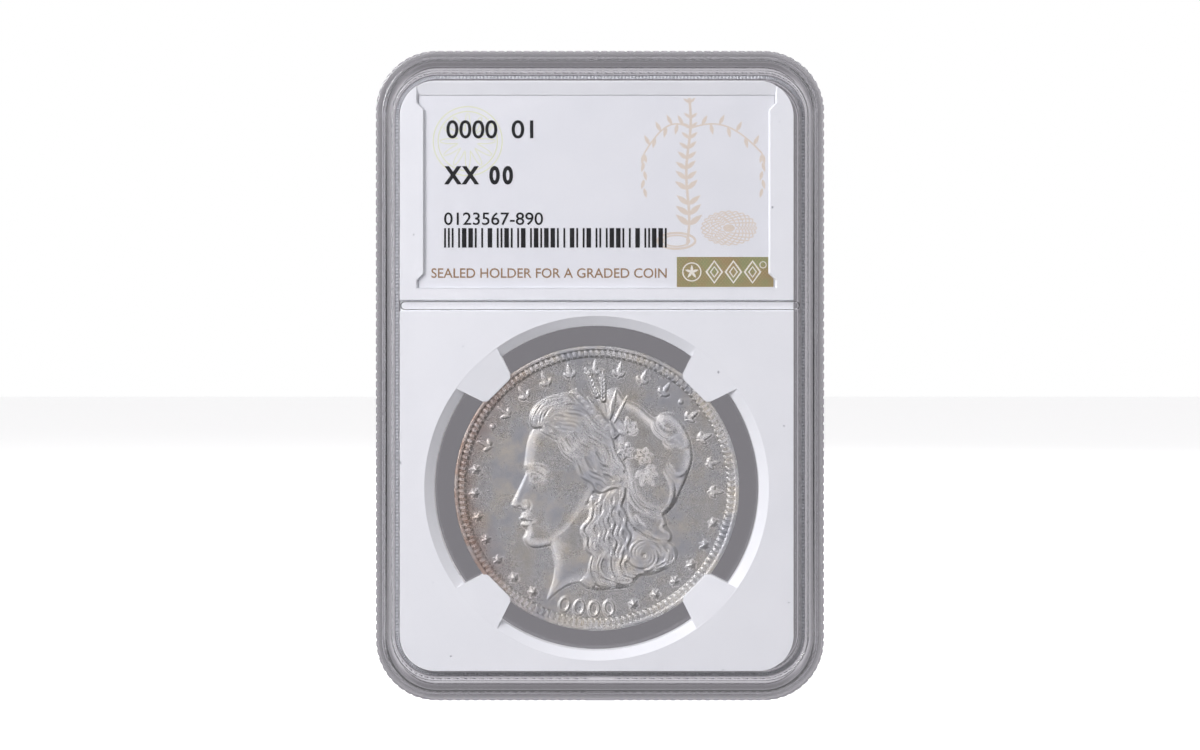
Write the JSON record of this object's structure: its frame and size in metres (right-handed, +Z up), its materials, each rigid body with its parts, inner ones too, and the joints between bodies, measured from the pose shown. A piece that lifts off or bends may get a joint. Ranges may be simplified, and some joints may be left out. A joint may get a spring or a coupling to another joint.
{
  "type": "graded coin slab",
  "caption": "Sealed clear two-shell holder with a white core whose four prongs grip one large coin below a printed label; it stands on its edge, lies flat or stacks.",
  "frame": {"origin": "middle of the bottom edge, midway between the front and the back", "axes": "+Z up the slab, +X to the right seen from the front, +Y from the front face to the back"},
  "size_m": [0.0596, 0.0084, 0.0864],
  "materials": {
    "clear_front": "clear, polished",
    "clear_back": "clear, polished",
    "weld": "clear, melted",
    "white_core": "fine matt moulding",
    "coin_silver": "struck silver with frosted lustre",
    "front_card": "satin coated card",
    "gold_foil": "patterned foil",
    "back_card": "satin coated card",
    "silver_foil": "patterned foil"
  },
  "bodies": {
    "case": {"front_shell": "clear_front", "back_shell": "clear_back", "weld_seam": "weld", "core": "white_core", "front_label": "front_card", "front_foil": "gold_foil", "back_label": "back_card", "back_foil": "silver_foil"},
    "coin": {"coin": "coin_silver"}
  },
  "joints": [
    {"name": "coin_turn", "type": "hinge", "parent": "case", "child": "coin", "pos_m": [-0.00045, 0, 0.0282], "axis": [0, 1, 0], "continuous": true}
  ]
}
